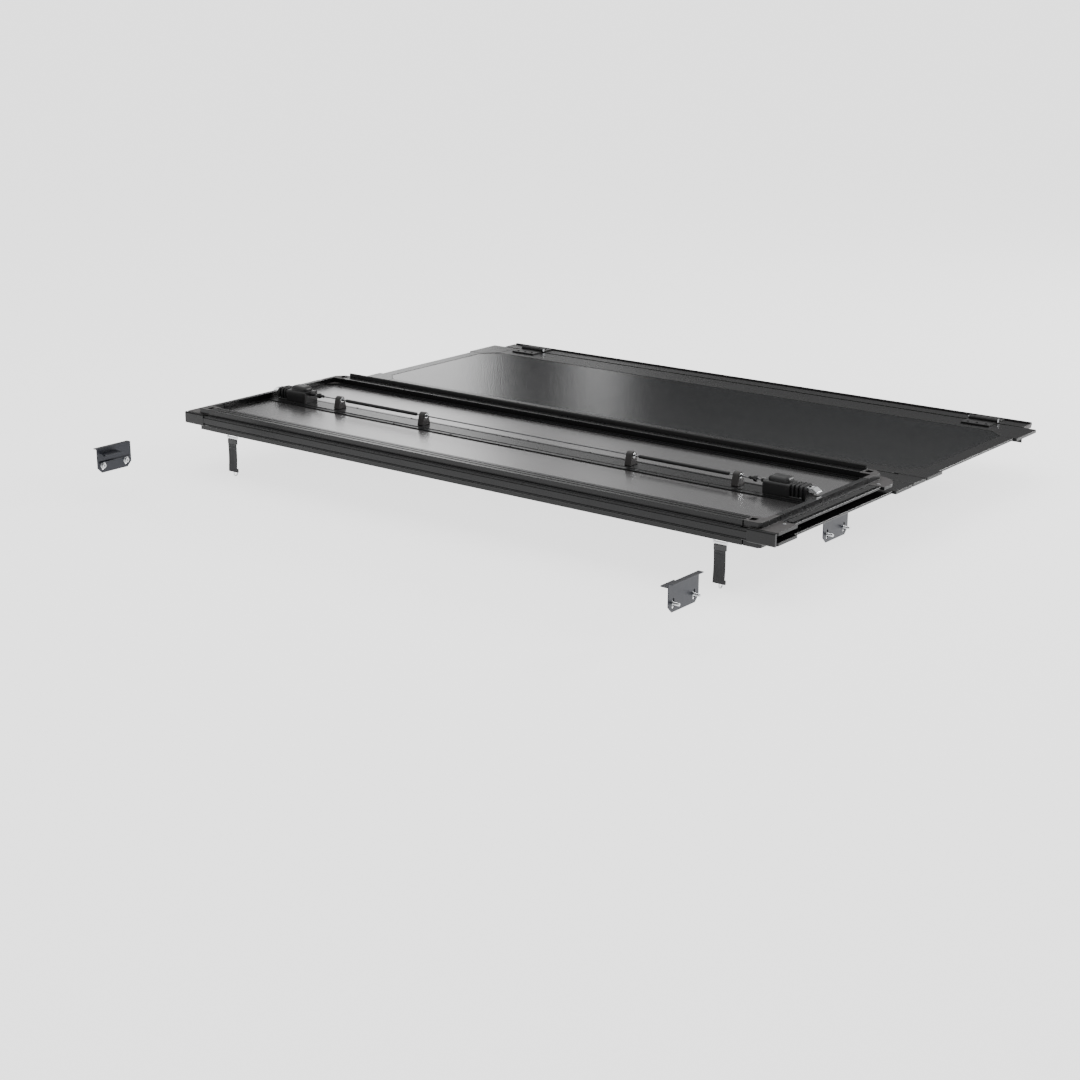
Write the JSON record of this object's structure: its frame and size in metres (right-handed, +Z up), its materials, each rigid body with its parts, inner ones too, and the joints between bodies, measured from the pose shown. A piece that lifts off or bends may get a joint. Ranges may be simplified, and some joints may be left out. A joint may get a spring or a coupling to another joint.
{
  "type": "hard folding tonneau cover",
  "caption": "Hard folding tonneau cover of flat framed panels on hinge strips, with slam latches, header rail, clamps and prop rods, shown with its rear panel folded forward.",
  "frame": {"origin": "middle of the header rail's underside, on the plane of the truck's bed rails", "axes": "+X to the truck's right, +Y towards the cab, +Z up"},
  "size_m": [1.68, 1.5553, 0.1877],
  "materials": {
    "panel_skin": "black pebble-grained coating on an aluminium sheet, semi-gloss",
    "frame_black": "black satin powder coat on extruded aluminium",
    "hinge_black": "black satin powder coat",
    "clamp_black": "black powder coat on cast aluminium",
    "striker_steel": "blue-black powder coat on folded steel sheet",
    "latch_plastic": "black moulded nylon",
    "bolt_zinc": "bright zinc plate",
    "fastener_zinc": "zinc plate",
    "rod_steel": "zinc-plated round bar",
    "cable_sheath": "black nylon sheath",
    "seal_rubber": "matt black EPDM",
    "strap_webbing": "dark grey woven webbing"
  },
  "bodies": {
    "bed_fixed": {"header_rail": "frame_black", "header_seal": "seal_rubber", "hinge_fixed_leaf_left": "hinge_black", "hinge_fixed_leaf_right": "hinge_black", "hinge_pin_left": "fastener_zinc", "hinge_pin_right": "fastener_zinc", "clamp_body_left": "clamp_black", "clamp_body_right": "clamp_black", "middle_striker_left": "striker_steel", "middle_striker_right": "striker_steel", "rear_striker_left": "striker_steel", "rear_striker_right": "striker_steel"},
    "front_panel": {"front_skin": "panel_skin", "front_cab_rail": "frame_black", "front_rear_rail": "frame_black", "front_left_rail": "frame_black", "front_right_rail": "frame_black", "front_cross_rail": "frame_black", "hinge_moving_leaf_left": "hinge_black", "hinge_moving_leaf_right": "hinge_black", "prop_rod_mount_left": "latch_plastic", "prop_rod_mount_right": "latch_plastic"},
    "mid_strip": {"mid_hinge_strip": "frame_black"},
    "middle_panel": {"middle_skin": "panel_skin", "middle_cab_rail": "frame_black", "middle_rear_rail": "frame_black", "middle_left_rail": "frame_black", "middle_right_rail": "frame_black", "middle_cross_rail": "frame_black", "middle_latch_cable": "cable_sheath", "middle_latch_housing_left": "latch_plastic", "middle_latch_housing_right": "latch_plastic", "middle_latch_spring_left": "fastener_zinc", "middle_latch_spring_right": "fastener_zinc", "strap_loop_left": "fastener_zinc", "strap_loop_right": "fastener_zinc", "strap_left": "strap_webbing", "strap_right": "strap_webbing"},
    "middle_bolt_left": {"middle_latch_bolt_left": "bolt_zinc"},
    "middle_bolt_right": {"middle_latch_bolt_right": "bolt_zinc"},
    "rear_strip": {"rear_hinge_strip": "frame_black"},
    "rear_panel": {"rear_skin": "panel_skin", "rear_cab_rail": "frame_black", "rear_rear_rail": "frame_black", "rear_left_rail": "frame_black", "rear_right_rail": "frame_black", "rear_cross_rail": "frame_black", "rear_latch_cable": "cable_sheath", "tailgate_seal": "seal_rubber", "rear_latch_housing_left": "latch_plastic", "rear_latch_housing_right": "latch_plastic", "rear_latch_spring_left": "fastener_zinc", "rear_latch_spring_right": "fastener_zinc"},
    "rear_bolt_left": {"rear_latch_bolt_left": "bolt_zinc"},
    "rear_bolt_right": {"rear_latch_bolt_right": "bolt_zinc"},
    "prop_rod_left": {"prop_rod_left": "rod_steel"},
    "prop_rod_right": {"prop_rod_right": "rod_steel"},
    "clamp_screw_left": {"clamp_screw_left": "fastener_zinc"},
    "clamp_screw_right": {"clamp_screw_right": "fastener_zinc"}
  },
  "joints": [
    {"name": "cover_lift", "type": "hinge", "parent": "bed_fixed", "child": "front_panel", "pos_m": [0, -0.0235, 0.0155], "axis": [-1, 0, 0], "range_deg": [0, 85]},
    {"name": "mid_strip_fold", "type": "hinge", "parent": "front_panel", "child": "mid_strip", "pos_m": [0, -0.5955, 0.006], "axis": [-1, 0, 0], "range_deg": [0, 87.5]},
    {"name": "middle_panel_fold", "type": "hinge", "parent": "mid_strip", "child": "middle_panel", "pos_m": [0, -0.6485, 0.006], "axis": [-1, 0, 0], "range_deg": [0, 87.5]},
    {"name": "rear_strip_fold", "type": "hinge", "parent": "middle_panel", "child": "rear_strip", "pos_m": [0, -1.2115, 0.006], "axis": [1, 0, 0], "range_deg": [0, 90]},
    {"name": "rear_panel_fold", "type": "hinge", "parent": "rear_strip", "child": "rear_panel", "pos_m": [0, -1.2115, 0.027], "axis": [1, 0, 0], "range_deg": [0, 90]},
    {"name": "middle_latch_left", "type": "slide", "parent": "middle_panel", "child": "middle_bolt_left", "axis": [1, 0, 0], "range_m": [0, 0.012], "stiffness_N_per_m": 600, "springref_m": -0.01, "deforming": ["middle_latch_spring_left"]},
    {"name": "middle_latch_right", "type": "slide", "parent": "middle_panel", "child": "middle_bolt_right", "axis": [-1, 0, 0], "range_m": [0, 0.012], "stiffness_N_per_m": 600, "springref_m": -0.01, "deforming": ["middle_latch_spring_right"]},
    {"name": "rear_latch_left", "type": "slide", "parent": "rear_panel", "child": "rear_bolt_left", "axis": [1, 0, 0], "range_m": [0, 0.012], "stiffness_N_per_m": 600, "springref_m": -0.01, "deforming": ["rear_latch_spring_left"]},
    {"name": "rear_latch_right", "type": "slide", "parent": "rear_panel", "child": "rear_bolt_right", "axis": [-1, 0, 0], "range_m": [0, 0.012], "stiffness_N_per_m": 600, "springref_m": -0.01, "deforming": ["rear_latch_spring_right"]},
    {"name": "prop_rod_left", "type": "hinge", "parent": "front_panel", "child": "prop_rod_left", "pos_m": [-0.7625, -0.206, -0.004], "axis": [1, 0, 0], "range_deg": [0, 120]},
    {"name": "clamp_screw_left", "type": "slide", "parent": "bed_fixed", "child": "clamp_screw_left", "axis": [0, 0, 1], "range_m": [-0.015, 0]},
    {"name": "prop_rod_right", "type": "hinge", "parent": "front_panel", "child": "prop_rod_right", "pos_m": [0.7625, -0.206, -0.004], "axis": [1, 0, 0], "range_deg": [0, 120]},
    {"name": "clamp_screw_right", "type": "slide", "parent": "bed_fixed", "child": "clamp_screw_right", "axis": [0, 0, 1], "range_m": [-0.015, 0]}
  ],
  "couplings": [
    {"joint": "rear_strip_fold", "follows": "rear_panel_fold", "ratio": 1},
    {"joint": "middle_latch_right", "follows": "middle_latch_left", "ratio": 1},
    {"joint": "rear_latch_right", "follows": "rear_latch_left", "ratio": 1}
  ]
}
